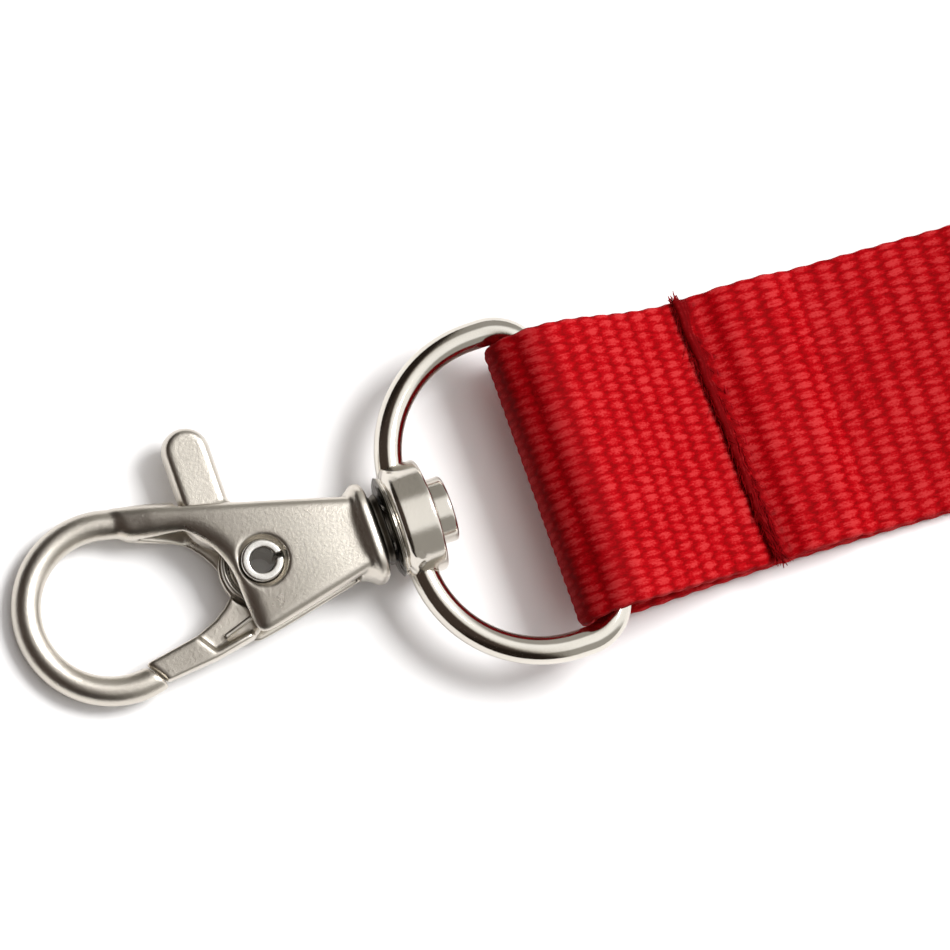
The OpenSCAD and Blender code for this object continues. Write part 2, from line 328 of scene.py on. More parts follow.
def carve(name, shape, low, high, step, material, soften=0.12):
    """A closed mesh of the places where shape(u, v, w) is negative, in the hook's frame."""
    axes = [np.arange(a, b + step, step) for a, b in zip(low, high)]
    u, v, w = (
        axes[0][:, None, None].astype(np.float32),
        axes[1][None, :, None].astype(np.float32),
        axes[2][None, None, :].astype(np.float32),
    )
    field = np.broadcast_to(shape(u, v, w), [len(a) for a in axes]).astype(np.float32)
    field = blurred(field, soften / step)
    inside = field < 0
    places, number = crossing_places(field, inside)
    places, normals = settled(field, places, step)
    points = from_hook(places * step + np.array([a[0] for a in axes]))
    return add_mesh(name, points, cell_faces(inside, number), material, normals @ hook_axes)


def directions(path):
    """The unit vector along a path at each of its points."""
    along = np.gradient(path, axis=0)
    return along / np.linalg.norm(along, axis=1)[:, None]


def tube(points, side, radius, sides):
    """Points and faces of a round wire along a path, with flat ends."""
    points = np.asarray(points, float)
    along = directions(points)
    side = np.broadcast_to(np.asarray(side, float), points.shape)
    side = side - (side * along).sum(1)[:, None] * along
    side /= np.linalg.norm(side, axis=1)[:, None]
    up = np.cross(along, side)
    angle = np.arange(sides) * 2 * math.pi / sides
    radius = np.broadcast_to(np.asarray(radius, float), len(points))
    rings = points[:, None] + radius[:, None, None] * (
        np.cos(angle)[None, :, None] * side[:, None] + np.sin(angle)[None, :, None] * up[:, None]
    )
    n = len(points)
    i, k = np.meshgrid(np.arange(n - 1), np.arange(sides), indexing="ij")
    after = (k + 1) % sides
    walls = np.stack([
        i * sides + k, i * sides + after, (i + 1) * sides + after, (i + 1) * sides + k,
    ], -1).reshape(-1, 4)
    k = np.arange(sides // 2 - 1)
    cap = np.stack([k, sides - 1 - k, sides - 2 - k, k + 1], -1)
    faces = np.concatenate([walls, cap, cap[:, ::-1] + (n - 1) * sides])
    return rings.reshape(-1, 3), faces


def add_tubes(name, tubes, material):
    """One piece made of several wires."""
    points, faces, count = [], [], 0
    for tube_points, tube_faces in tubes:
        points.append(tube_points)
        faces.append(tube_faces + count)
        count += len(tube_points)
    return add_mesh(name, np.concatenate(points), np.concatenate(faces), material)


def distances(path):
    """The distance along a path of each of its points."""
    return np.concatenate([[0], np.cumsum(np.linalg.norm(np.diff(path, axis=0), axis=1))])


def evenly(points, step):
    """The same path with points at even distances."""
    points = np.asarray(points, float)
    along = distances(points)
    stops = np.linspace(0, along[-1], max(3, int(round(along[-1] / step)) + 1))
    return np.stack([np.interp(stops, along, points[:, i]) for i in range(points.shape[1])], 1)


def averaged(path, weights):
    """The path with each point averaged with its neighbours, without the points near its ends."""
    weights = weights / weights.sum()
    return np.stack([np.convolve(path[:, i], weights, "valid") for i in (0, 1)], 1)


def bend(centre, radius, from_a, to_a, count=60):
    """An arc in a plane, from one angle to another in degrees."""
    a = np.radians(np.linspace(from_a, to_a, count))
    return np.stack([centre[0] + radius * np.cos(a), centre[1] + radius * np.sin(a)], 1)


def smooth_step(t):
    t = np.clip(t, 0, 1)
    return t * t * (3 - 2 * t)


# ---- Materials ---------------------------------------------------------------

def surface(name, base, roughness, metallic=0.0):
    """A Principled surface, its node tree and the Principled node."""
    material = bpy.data.materials.new(name)
    material.use_nodes = True
    tree = material.node_tree
    shader = tree.nodes["Principled BSDF"]
    shader.inputs["Base Color"].default_value = (*base, 1)
    shader.inputs["Roughness"].default_value = roughness
    shader.inputs["Metallic"].default_value = metallic
    return material, tree, shader


def noise(tree, coordinates, scale, detail=3.0, roughness=0.5):
    node = tree.nodes.new("ShaderNodeTexNoise")
    node.inputs["Scale"].default_value = scale
    node.inputs["Detail"].default_value = detail
    node.inputs["Roughness"].default_value = roughness
    tree.links.new(coordinates, node.inputs["Vector"])
    return node.outputs["Fac"]


def ramp(tree, value, stops):
    """A colour ramp over value, from (place, colour) stops."""
    node = tree.nodes.new("ShaderNodeValToRGB")
    elements = node.color_ramp.elements
    while len(elements) < len(stops):
        elements.new(0.5)
    for element, (place, colour) in zip(elements, stops):
        element.position = place
        element.color = (*colour, 1)
    tree.links.new(value, node.inputs["Fac"])
    return node.outputs["Color"]


def span(tree, value, low, high):
    """Value 0 to 1 stretched to low to high."""
    node = tree.nodes.new("ShaderNodeMapRange")
    node.inputs["To Min"].default_value = low
    node.inputs["To Max"].default_value = high
    tree.links.new(value, node.inputs["Value"])
    return node.outputs["Result"]


def bump(tree, shader, height, distance, strength=1.0):
    node = tree.nodes.new("ShaderNodeBump")
    node.inputs["Distance"].default_value = distance
    node.inputs["Strength"].default_value = strength
    tree.links.new(height, node.inputs["Height"])
    tree.links.new(node.outputs["Normal"], shader.inputs["Normal"])


def object_place(tree):
    return tree.nodes.new("ShaderNodeTexCoord").outputs["Object"]


def attribute(tree, name):
    node = tree.nodes.new("ShaderNodeAttribute")
    node.attribute_name = name
    return node.outputs["Fac"]


def maths(tree, operation, *values):
    """One step of arithmetic on sockets or plain numbers."""
    node = tree.nodes.new("ShaderNodeMath")
    node.operation = operation
    for socket, value in zip(node.inputs, values):
        if isinstance(value, (int, float)):
            socket.default_value = value
        else:
            tree.links.new(value, socket)
    return node.outputs[0]


def vector_maths(tree, operation, *values):
    """One step of vector arithmetic on sockets or plain triples."""
    node = tree.nodes.new("ShaderNodeVectorMath")
    node.operation = operation
    for socket, value in zip(node.inputs, values):
        if isinstance(value, tuple):
            socket.default_value = value
        else:
            tree.links.new(value, socket)
    return node.outputs["Value" if operation == "DOT_PRODUCT" else "Vector"]


def blend_colours(tree, share, first, second):
    """The first colour, or the second where share is 1."""
    node = tree.nodes.new("ShaderNodeMix")
    node.data_type = "RGBA"
    for socket, value in ((node.inputs[0], share), (node.inputs[6], first), (node.inputs[7], second)):
        if isinstance(value, tuple):
            socket.default_value = (*value, 1)
        else:
            tree.links.new(value, socket)
    return node.outputs[2]


# Painted shade: near black, for the narrow groove between the flange and the collar.
groove_shade_black = (0.035, 0.028, 0.018)


def cast_metal(name, base, rough_low, rough_high, grain):
    """Plated metal: a little uneven in polish, with the grain of the casting under the plating, and
    painted shade where a piece's groove_shade layer is set.
    """
    material, tree, shader = surface(name, base, rough_low, metallic=1)
    place = object_place(tree)
    patches = noise(tree, place, 260, detail=4)
    tree.links.new(span(tree, patches, rough_low, rough_high), shader.inputs["Roughness"])
    tint = ramp(tree, noise(tree, place, 120, detail=5), [
        (0.3, tuple(0.86 * c for c in base)),
        (0.7, tuple(min(1, 1.06 * c) for c in base)),
    ])
    # Painted shade: the colour goes towards near black where the groove_shade layer is set.
    tint = blend_colours(tree, attribute(tree, "groove_shade"), tint, groove_shade_black)
    tree.links.new(tint, shader.inputs["Base Color"])
    if grain:
        bump(tree, shader, noise(tree, place, 4200, detail=5, roughness=0.7), grain)
    return material


cast_nickel = cast_metal("cast nickel", (0.66, 0.615, 0.545), 0.22, 0.36, 0.000018)
turned_nickel = cast_metal("turned nickel", (0.68, 0.64, 0.575), 0.12, 0.2, 0.000006)
ring_nickel = cast_metal("ring nickel", (0.72, 0.68, 0.61), 0.08, 0.16, 0.000004)
pin_nickel = cast_metal("pin nickel", (0.74, 0.72, 0.68), 0.14, 0.26, 0.00001)
spring_steel = cast_metal("spring steel", (0.5, 0.47, 0.42), 0.25, 0.35, 0)


def strand_place(tree, along, across):
    """Places on the woven face, scaled along and across the strap."""
    strands = tree.nodes.new("ShaderNodeUVMap")
    strands.uv_map = "strands"
    scaled = tree.nodes.new("ShaderNodeMapping")
    scaled.inputs["Scale"].default_value = (along, across, 1)
    tree.links.new(strands.outputs["UV"], scaled.inputs["Vector"])
    return scaled.outputs["Vector"]


def yarn(name, shaded_valley, middle, lit_peak, scorch_and_shade_red):
    """Woven yarn: painted shade between the floats and painted light and sheen on them, with fine streaks
    along the fibres.
    """
    material, tree, shader = surface(name, middle, 0.7)
    shader.inputs["Specular IOR Level"].default_value = 0.04
    fibres = noise(tree, strand_place(tree, 1.2, 5.5), 1.1, detail=3, roughness=0.65)
    grain = noise(tree, strand_place(tree, 4.5, 6), 1.1, detail=2, roughness=0.7)
    patches = noise(tree, strand_place(tree, 0.2, 0.25), 1, detail=2)
    height = attribute(tree, "relief")
    lit = maths(tree, "MULTIPLY_ADD", maths(tree, "SUBTRACT", fibres, 0.5), 1.3, height)
    lit = maths(tree, "MULTIPLY_ADD", maths(tree, "SUBTRACT", grain, 0.5), 1.1, lit)
    lit = maths(tree, "MULTIPLY_ADD", maths(tree, "SUBTRACT", patches, 0.5), 0.6, lit)
    # Painted shade and light: the colour follows the weave's height, darker in the valleys, lighter and a
    # little whitish on the floats.
    colour = ramp(tree, lit, [(0.1, shaded_valley), (0.6, middle), (1.0, lit_peak)])
    # Darker where the scorch_and_shade layer says: painted shade round the fold, the heat-sealed cut end's
    # own darker colour, and painted shade in the stitch holes.
    colour = blend_colours(tree, maths(tree, "MULTIPLY", attribute(tree, "scorch_and_shade"), 0.8), colour, scorch_and_shade_red)
    tree.links.new(colour, shader.inputs["Base Color"])
    both = maths(tree, "ADD", fibres, maths(tree, "MULTIPLY", grain, 0.6))
    bump(tree, shader, both, 0.00005, 0.8)
    return material


# Valley, middle and float colours hold painted shade and a painted sheen; the last colour is the dark red
# of the scorched end and of painted shade.
webbing_red = yarn(
    "webbing red", (0.22, 0.0, 0.001), (0.37, 0.0, 0.003), (0.49, 0.026, 0.028), (0.11, 0.0, 0.001),
)


def plain_fibre(name, base, roughness):
    """Matt thread or tape, a little uneven in shade."""
    material, tree, shader = surface(name, base, roughness)
    shader.inputs["Specular IOR Level"].default_value = 0.06
    shade = ramp(tree, noise(tree, object_place(tree), 1800, detail=3), [
        (0.3, tuple(0.6 * c for c in base)),
        (0.7, tuple(min(1, 1.25 * c) for c in base)),
    ])
    tree.links.new(shade, shader.inputs["Base Color"])
    bump(tree, shader, noise(tree, object_place(tree), 5000), 0.00003)
    return material


thread_red = plain_fibre("thread red", (0.3, 0.0, 0.004), 0.6)
fibre_red = plain_fibre("fibre red", (0.22, 0.0, 0.002), 0.7)
tie_black = plain_fibre("tie black", (0.02, 0.02, 0.022), 0.85)


# ---- Hook --------------------------------------------------------------------

def paint_groove_shade(piece, amount):
    """Paint shade into a casting by amount(u, v, w), from 0 for bright to 1 for almost black."""
    points = np.array([in_hook(np.array(vertex.co) / MM) for vertex in piece.data.vertices])
    add_layer(piece, "groove_shade", np.clip(amount(*points.T), 0, 1))


def unit(angle):
    """The direction at an angle in degrees."""
    return np.array([math.cos(math.radians(angle)), math.sin(math.radians(angle))])


spine_start = bowl_c + bowl_r * unit(spine_a)
spine_end = spine_start + 8.5 * unit(spine_a - 90)
nose_face = np.array([-19.55, -4.55])
nose_away = unit(33)


def pitting(u, v, w):
    """Uneven plating round the parting line of the swivel's neck, in millimetres."""
    waves = np.sin(8.3 * u + 2) * np.sin(9.1 * w + 0.5 * v) + np.sin(5.2 * u + 6.1 * w)
    near = smooth_step((u + 4.4) / 0.8)
    return 0.05 * waves * smooth_step((np.abs(v) - 2.2) / 0.8) * near


def above_spine(u, v):
    """Height over the middle line of the straight rod between the bowl and the plate."""
    return v - spine_start[1] - (u - spine_start[0]) * math.tan(math.radians(spine_a - 90))


def plate_shape(u, v, w):
    """The two cheeks as one plate, thinner towards the bowl, hollowed round the eye."""
    cheeks = polygon(u, v, [
        [-2.6, 2.0], [-3.5, 2.7], [-18.8, 7.05], [-18.8, 4.8], [-16.8, 2.4], [-14.6, -0.6],
        [-14.6, -5.15], [-3.5, -2.55], [-2.6, -2.0],
    ])
    middle_v = np.interp(u, [-16, -3.65], [2.2, 0.2])
    half = body_half - 0.0068 * np.maximum(-5 - u, 0) ** 2
    half = half - 0.009 * (v - middle_v) ** 2
    plate = smooth_max(cheeks, np.abs(w) - half, 0.8)
    edge = eye_r - 0.2 - 0.5 * smooth_step(-w / 1.5)
    eye = edge - np.hypot(u - eye_c[0], v - eye_c[1])
    below_eye = np.minimum(eye_c[0] + edge - u, eye_c[1] - v)
    plate = smooth_max(plate, np.maximum(eye, below_eye), 1.5)
    blend = np.interp(u, [-20, -16.5], [0.05, 1.0])
    return smooth_min(plate, capsule(u, v, w, spine_start, spine_end, rod_r), blend)


def neck_shape(u, v, w):
    """The flange and the neck beyond it: a profile turned round the axis, a little flattened."""
    across = np.cbrt(np.abs(v) ** 3 + np.abs(1.2 * w) ** 3)
    return polygon(u, across, [
        [-4.6, -3], [-4.6, 2.85], [-3.85, 2.92], [-3.5, 3.12], [-3.2, 3.35], [-3.05, 3.48],
        [-2.85, 3.55], [-2.55, 3.5], [-2.3, 3.3], [-2.2, 2.6], [-2.1, 2.2], [-1.53, 2.65],
        [-1.53, -3],
    ])


def slot_shape(u, v, w):
    """The slot for the trigger, which narrows and ends along the rod."""
    slot = np.maximum(np.maximum(slot_left - u, u - slot_right), np.abs(w) - slot_half)
    narrowing = np.interp(u, [slot_tip, slot_left], [0.25, slot_half])
    taper = np.maximum(np.maximum(slot_tip - u, u - slot_left - 0.2), np.abs(w) - narrowing)
    return np.minimum(slot, np.maximum(taper, above_spine(u, v) + 0.55))


def bowl_shape(u, v, w):
    """The round rod bent round the eye, cut off where the gate meets the nose."""
    bowl = arc_rod(u, v, w, bowl_c, bowl_r, rod_r, spine_a, nose_a)
    beyond = (u - nose_face[0]) * nose_away[0] + (v - nose_face[1]) * nose_away[1]
    return smooth_max(bowl, np.where(v < -1.5, beyond, -2), 0.2)


def hook_shape(u, v, w):
    body = smooth_min(plate_shape(u, v, w), neck_shape(u, v, w), 0.12) - 0.3 * pitting(u, v, w)
    body = smooth_max(body, -slot_shape(u, v, w), 0.15)
    bore = np.hypot(u - pin_u, v - pin_v)
    body = smooth_max(body, pin_r + 0.02 - bore, 0.1)
    recess = np.minimum(pin_r + 0.3 - bore, np.abs(w) - body_half + 0.5)
    return np.minimum(smooth_max(body, recess, 0.12), bowl_shape(u, v, w))


hook_body = carve(
    "hook_casting", hook_shape, (-28, -6, -3.8), (-1.2, 7.9, 3.8), 0.09, cast_nickel,
)
# Painted shade from the flange's right side over the neck, in the groove before the collar.
paint_groove_shade(hook_body, lambda u, v, w: 0.9 * smooth_step((u + 2.42) / 0.15))


def tab_shape(u, v, w):
    """The thumb tab, with sloping sides, and the arm that joins it to the hub."""
    slab = np.abs(w) - trigger_half
    tab = capsule(u, v, 0 * w, (-12.7, 4.2), (-12.7, 9.3), 1.7)
    tab = smooth_max(tab + 0.28 * np.abs(w) / trigger_half, slab, 0.4)
    arm = polygon(u, v, [[-14.4, 4.3], [-13, 2.2], [-8.3, 1.6], [-11, 5]])
    return smooth_min(tab, smooth_max(arm, slab, 0.3), 0.5)


def gate_shape(u, v, w):
    """The gate's bar, thinner towards the nose, and the thin web that carries it."""
    web = polygon(u, v, [
        [-12.2, -0.2], [-13.7, -1.7], [-14.6, -2.3], [-16.3, -3], [-15.4, -4.85], [-12.4, -4.3],
        [-9.4, -2.3],
    ])
    web = smooth_max(web, np.abs(w) - 0.55 + 0.05 * np.maximum(-12 - u, 0), 0.2)
    gate_end = nose_face + 0.12 * nose_away
    bar_shape = polygon(u, v, [
        gate_end + [-0.56, 0.86], [-16.1, -2.95], [-15.2, -4.3], [-12.5, -3.85], [-12.4, -4.3],
        [-15.2, -4.9], gate_end + [0.52, -0.8],
    ])
    half = trigger_half - 0.07 * np.maximum(-13.5 - u, 0)
    gate = smooth_max(bar_shape, np.abs(w) - half, 0.35)
    return smooth_min(web, gate, 0.25)


def trigger_shape(u, v, w):
    from_pin = np.hypot(u - pin_u, v - pin_v)
    disc = np.maximum(from_pin - 2.9, np.maximum(-1.15 - w, w + 0.1))
    boss = np.maximum(from_pin - hub_r, np.abs(w) - 1.15)
    hub = np.minimum(disc, boss)
    solid = np.minimum(np.minimum(tab_shape(u, v, w), gate_shape(u, v, w)), hub)
    coil_seat = np.maximum(np.maximum(from_pin - coil_seat_r, hub_r - from_pin), -0.1 - w)
    solid = np.maximum(solid, -coil_seat)
    return np.maximum(solid, pin_r + 0.06 - from_pin)


trigger = carve(
    "trigger_casting", trigger_shape, (-20.6, -6, -1.5), (-6.8, 11.6, 1.5), 0.08, cast_nickel,
)


def pin_shape(u, v, w):
    from_pin = np.hypot(u - pin_u, v - pin_v)
    wall = smooth_max(from_pin - pin_r, 0.85 - from_pin, 0.2)
    tube_wall = smooth_max(wall, np.abs(w) - body_half + 0.12, 0.15)
    slit = np.maximum(np.abs(v - pin_v) - 0.15, pin_u - u)
    return np.maximum(tube_wall, -slit)


hinge_pin = carve(
    "slotted_pin", pin_shape,
    (pin_u - 1.7, pin_v - 1.7, -2.8), (pin_u + 1.7, pin_v + 1.7, 2.8), 0.06, pin_nickel, soften=0.05,
)


def spring_path():
    """One wire, measured from the pin: a leg on the gate's web, the coil, a leg on the slot's end."""
    turn, low, pitch, radius = 732.0, 0.1, 0.4, 2.55
    a = np.radians(np.linspace(-72, -72 + turn, 160))
    rise = np.linspace(low + pitch * turn / 360, low, 160)
    coil = np.stack([radius * np.cos(a), radius * np.sin(a), rise], 1)
    top = rise[0]
    return np.concatenate([
        [[-3.96, -3.97, 0.76], [-3.5, -3.82, 0.76], [-0.6, -2.85, top]], coil,
        [[4, -0.7, low], [5.95, 0.35, low]],
    ])


wire = evenly(spring_path(), 0.12) + [pin_u, pin_v, 0]
spring_points, spring_faces = tube(wire, (0, 0, 1), 0.17, 14)
trigger_spring = add_mesh("trigger_coil", from_hook(spring_points), spring_faces, spring_steel)


# ---- Swivel and ring ---------------------------------------------------------

def stud_shape(u, v, w):
    return polygon(u, np.hypot(v, w), [
        [slot_right + 0.1, -3], [slot_right + 0.1, 1.68], [1.81, 1.68], [1.81, 2.3], [2.95, 2.3],
        [3.1, 2.18], [3.1, -3],
    ])


def collar_shape(u, v, w):
    across = np.hypot(v, w)
    turned = polygon(u, across, [
        [-1.43, -3], [-1.43, 2.9], [-1.36, 3.3], [-1.25, 3.54], [-1.15, 3.54], [-1.08, 3.3],
        [-0.98, 3.35], [-0.88, 3.65], [-0.74, 3.85], [-0.55, 3.95], [1.58, 3.95], [1.75, 3.82],
        [1.75, -3],
    ])
    holes = np.hypot(u, w) - ring_r - 0.03
    turned = turned - 0.3 * pitting(u, v, w) * (1 - smooth_step((u + 0.2) / 0.8))
    return smooth_max(np.maximum(turned, 1.76 - across), -holes, 0.12)


stud = carve("stud", stud_shape, (-4.5, -2.8, -2.8), (3.6, 2.8, 2.8), 0.08, turned_nickel, soften=0.05)
collar = carve(
    "collar", collar_shape, (-1.9, -4.5, -4.5), (2.3, 4.5, 4.5), 0.08, turned_nickel, soften=0.06,
)
# Painted shade over the collar's lip and left face, in the groove by the flange.
paint_groove_shade(collar, lambda u, v, w: 0.9 * smooth_step((-1.12 - u) / 0.14))


def ring_path():
    """One wire bent to a D: its ends meet in the collar's cross holes."""
    shoulder = bend((ring_side_r, ring_c - ring_side_r), ring_side_r, 180, 90, 90)
    corner = bend((bar_u - ring_corner_r, ring_c - ring_corner_r), ring_corner_r, 90, 0, 50)
    half = np.concatenate([[[0, 2 + swivel_off]], shoulder, corner, [[bar_u, 0]]])
    other = half[::-1][1:] * [1, -1]
    other[-1, 1] = -2 + swivel_off
    path = evenly(np.concatenate([half, other]), 0.2)
    return np.stack([path[:, 0], path[:, 1] - swivel_off, 0 * path[:, 0]], 1)


ring_points, ring_faces = tube(ring_path(), (0, 0, 1), ring_r, 48)
d_ring = add_mesh("ring_wire", from_hook(ring_points), ring_faces, ring_nickel)


# ---- Webbing -----------------------------------------------------------------

lift = bar[2] - fold_out        # height of the loop's underside at the bar
rib = 1.65                      # rib to rib along the strap
float_pitch = 0.68              # float to float across it
float_l = 0.92                  # half of a float's length
float_w = 0.37                  # half of its width
half_t = webbing_t / 2
face_off = 0.44                 # middle of the webbing to half the weave's depth
relief = 0.13                   # depth of the weave
edge_r = 0.45                   # rounding of the woven edge
columns_fine = 168              # points across, where the strap is seen close
path_step = 0.1375
cut_slope = 0.046               # slant of the cut end
stitch_pitch = 1.3
stitch_in = 1.3                 # from the cut end to the stitches
stitched_half = 9.6             # reach of the stitches and fibres from the middle


def under(x):
    """Height of the strap's underside."""
    return lift * np.maximum(0, 1 - x / touch_x) ** 2


def pinch(x):
    """How far the stitches press each layer flat near the seam, as a share of its thickness."""
    return 0.42 * np.exp(-((x - seam_x - 1.2) / 1.3) ** 2)


def loop_mid(x):
    """Height of the middle of the loop's upper layer, and of the tucked end past the seam."""
    open_share = 1 - smooth_step(x / seam_x)
    return under(x) + (1.5 - 0.5 * pinch(x)) * webbing_t + 2 * fold_in * open_share


def upper_mid(x):
    """Height of the middle of the upper strand, which lies over the tucked end."""
    tuck = smooth_step((seam_x + lap + ramp_l - x) / ramp_l)
    return under(x) + (1.5 - 1.5 * pinch(x)) * webbing_t + webbing_t * tuck


def centre_y(x):
    """The strap's middle line in plan: along the ring's normal at first, then straight."""
    x = np.asarray(x, float)
    past = np.maximum(x, seam_x) - seam_x
    straightened = seam_x + 9 * (1 - np.exp(-past / 9))
    return math.tan(skew) * np.where(x < seam_x, x, straightened)


def lean(x):
    """The angle of the middle line in plan."""
    stops = np.linspace(-4, 120, 1000)
    slope = np.gradient(centre_y(stops), stops[1] - stops[0])
    return np.interp(x, stops, np.arctan(slope))


def half_width(x):
    """The strap is flattened and wider round the bar and drawn in at the seam."""
    return 9.75 + 0.4 * (1 - smooth_step(np.asarray(x, float) / 13))


def smooth_noise(count, spacing):
    """Seeded wandering values of about -1 to 1, with the given number of samples to a wave."""
    knots = rng.uniform(-1, 1, int(count / spacing) + 4)
    at = np.arange(count) / spacing
    low = at.astype(int)
    t = smooth_step(at - low)
    return knots[low] * (1 - t) + knots[low + 1] * t


def floats(s, y, turn):
    """The floats of every other rib: rounded lens shapes, each of its own height."""
    row = np.round((s - turn * rib) / (2 * rib)).astype(int)
    place = np.round(y / float_pitch - 0.5 * turn).astype(int)
    ds = s - turn * rib - row * 2 * rib
    dy = y - (place + 0.5 * turn) * float_pitch
    lot = rng.uniform(0.84, 1.06, (np.ptp(row) + 1, np.ptp(place) + 1))
    slant = rng.uniform(-0.14, 0.14, lot.shape)
    pick = (row - row.min(), place - place.min())
    dy = dy + slant[pick] * ds
    body = 1 - np.abs(ds / float_l) ** 1.5 - (dy / float_w) ** 2
    return lot[pick] * np.clip(body, 0, 1) ** 0.5


def weave(s, y, odd_side):
    """Relief of the weave, 0 to 1: floats across each rib, set off by half a float rib to rib."""
    s, y = np.broadcast_arrays(s + rib * odd_side, y)
    ridge = 0.3 + 0.15 * np.cos(2 * math.pi * s / rib)
    return np.maximum(np.maximum(floats(s, y, 0), floats(s, y, 1)), ridge)


def band_faces(n, m):
    """Faces of a closed band of n cross-sections with m points each, ends included."""
    i, k = np.meshgrid(np.arange(n - 1), np.arange(m), indexing="ij")
    after = (k + 1) % m
    walls = np.stack([i * m + k, (i + 1) * m + k, (i + 1) * m + after, i * m + after], -1)
    k = np.arange(m // 2 - 1)
    cap = np.stack([k + 1, k + 2, m - k - 1, (m - k) % m], -1)
    return np.concatenate([walls.reshape(-1, 4), cap, cap[:, ::-1] + (n - 1) * m])


def strap_frame(path):
    """Middle points of a path of x and z on the strap, with the tangent, sideways and normal."""
    x, z = path[:, 0], path[:, 1]
    along, turn = directions(path), lean(x)
    place = np.stack([x, centre_y(x), z], 1)
    tangent = np.stack([along[:, 0] * np.cos(turn), along[:, 0] * np.sin(turn), along[:, 1]], 1)
    lateral = np.stack([-np.sin(turn), np.cos(turn), 0 * x], 1)
    return place, tangent, lateral, np.cross(tangent, lateral)


def around(above, below):
    """The values of one band of cross-sections: over the top and back along the underside."""
    return np.concatenate([above, below[:, -2:0:-1]], 1)


def add_strands(piece, s, y):
    """A map of the distances along and across the strap, its two faces kept apart."""
    corner = np.zeros(len(piece.data.loops), np.int32)
    piece.data.loops.foreach_get("vertex_index", corner)
    spread = np.stack([around(s, s).ravel(), around(y, y + 2 * webbing_w).ravel()], 1)
    strands = piece.data.uv_layers.new(name="strands")
    strands.data.foreach_set("uv", spread[corner].astype(np.float32).ravel())


def strip(name, path, columns, material, start_end=None):
    """A closed band of webbing along a path of x and z, its ends cut square to the strap."""
    x, z = path[:, 0], path[:, 1]
    place, tangent, lateral, normal = strap_frame(path)
    s = distances(path)
    length = s[-1]
    scallop = 0.035 * np.cos(2 * math.pi * s / rib) + 0.05 * smooth_noise(len(path), 40)
    half = (half_width(x) + scallop)[:, None]
    y = half * np.linspace(-1, 1, columns)[None]
    s = np.broadcast_to(s[:, None], y.shape)
    drift = 0.06 * smooth_noise(len(path), 60)[:, None]
    squeeze = 1 - pinch(x) * (z > under(x) + webbing_t)
    edge = np.clip((np.abs(y) - (half - edge_r)) / edge_r, 0, 1)
    envelope = np.sqrt(np.maximum(0, 1 - edge ** 2)) * squeeze[:, None]
    round_bar = (np.clip(1.2 - x, 0, 1) * np.clip((z - bar[2] + 1.5) / 2, 0, 1))[:, None]
    faces_up = weave(s, y + drift, False) * (1 - 0.55 * round_bar)
    faces_down = weave(s, y + drift, True)
    # Painted shade over the fold round the bar, which faces away from the light.
    scorch_and_shade = 0.4 * round_bar + 0 * y
    shift = np.zeros(y.shape)
    if start_end is not None:
        envelope, shift, scorch_and_shade, faces_up = start_end(s, y, envelope, faces_up)
    top = envelope * (face_off + relief * (faces_up - 0.5))
    low = envelope * (face_off + relief * (faces_down - 0.5))
    middle = place[:, None] + y[..., None] * lateral[:, None] + shift[..., None] * tangent[:, None]
    loop = around(middle + top[..., None] * normal[:, None], middle - low[..., None] * normal[:, None])
    points = loop.reshape(-1, 3) + [bar[0], bar[1], 0]
    piece = add_mesh(name, points, band_faces(len(path), loop.shape[1]), material)
    add_layer(piece, "relief", around(faces_up, faces_down).ravel())
    add_layer(piece, "scorch_and_shade", around(scorch_and_shade, scorch_and_shade).ravel())
    add_strands(piece, s, y)
    return piece, length


def loop_path():
    """From the tucked end, over the top of the loop, round the bar and out along the lower strand."""
    back = np.linspace(seam_x + lap, 0.4, 200)
    upper = np.stack([back, loop_mid(back)], 1)
    crease = np.array([[-0.6, 2.64], [-2.35, 1.25], [-2.62, -0.7], [-1.7, -2.4]]) + [0, bar[2]]
    out = np.linspace(0.2, strand_end, 400)
    lower = np.stack([out, under(out) + half_t], 1)
    path = evenly(np.concatenate([upper, crease, lower]), path_step)
    smooth = averaged(path, np.exp(-0.5 * (np.arange(-6, 7) / 2.2) ** 2))
    return np.concatenate([path[:6], smooth, path[-6:]])


def upper_path():
    """The upper strand from its cut end, with more points there."""
    near = np.linspace(seam_x, seam_x + 1.5, 32)
    far = np.arange(near[-1] + 0.1, strand_end, path_step)
    out = np.concatenate([near, far])
    return np.stack([out, upper_mid(out)], 1)


def cut_end(s, y, envelope, height):
    """The upper strand's cut end: a little ragged, slanting, with the stitches drawn into it."""
    count = y.shape[1]
    ragged = 0.06 * smooth_noise(count, 3) + 0.1 * smooth_noise(count, 16)
    shift = (-cut_slope * y + ragged[None]) * np.exp(-s / 2.5)
    rounded = np.sqrt(np.clip(1 - (1 - np.minimum(s / 0.5, 1)) ** 2, 0.02, 1))
    frayed = 1 - smooth_step((s - 0.45 - 0.25 * smooth_noise(count, 5)) / 0.5)
    streak = 0.5 + 0.5 * np.cos(2 * math.pi * s / 0.27 + 2.5 * smooth_noise(count, 9)[None])
    streak = streak * (0.7 + 0.6 * smooth_noise(count, 2)[None])
    height = height * (1 - frayed) + frayed * streak
    stitch = np.round(y / stitch_pitch)
    depth = rng.uniform(-0.5, 1, 41).clip(0)[stitch.astype(int) + 20]
    hole = np.exp(-((s - stitch_in) / 0.2) ** 2 - ((y - stitch * stitch_pitch) / 0.17) ** 2)
    line = np.exp(-((s - stitch_in) / 0.3) ** 2)
    envelope = envelope * rounded * (1 - 0.6 * depth * hole - 0.12 * line)
    # The heat-sealed rim is darker in its own colour, with painted shade in the stitch holes and a darker
    # band just behind the rim.
    scorch_and_shade = frayed + depth * hole + 0.6 * np.exp(-((s - 1.0) / 0.4) ** 2)
    return envelope, shift, np.clip(scorch_and_shade, 0, 1), height


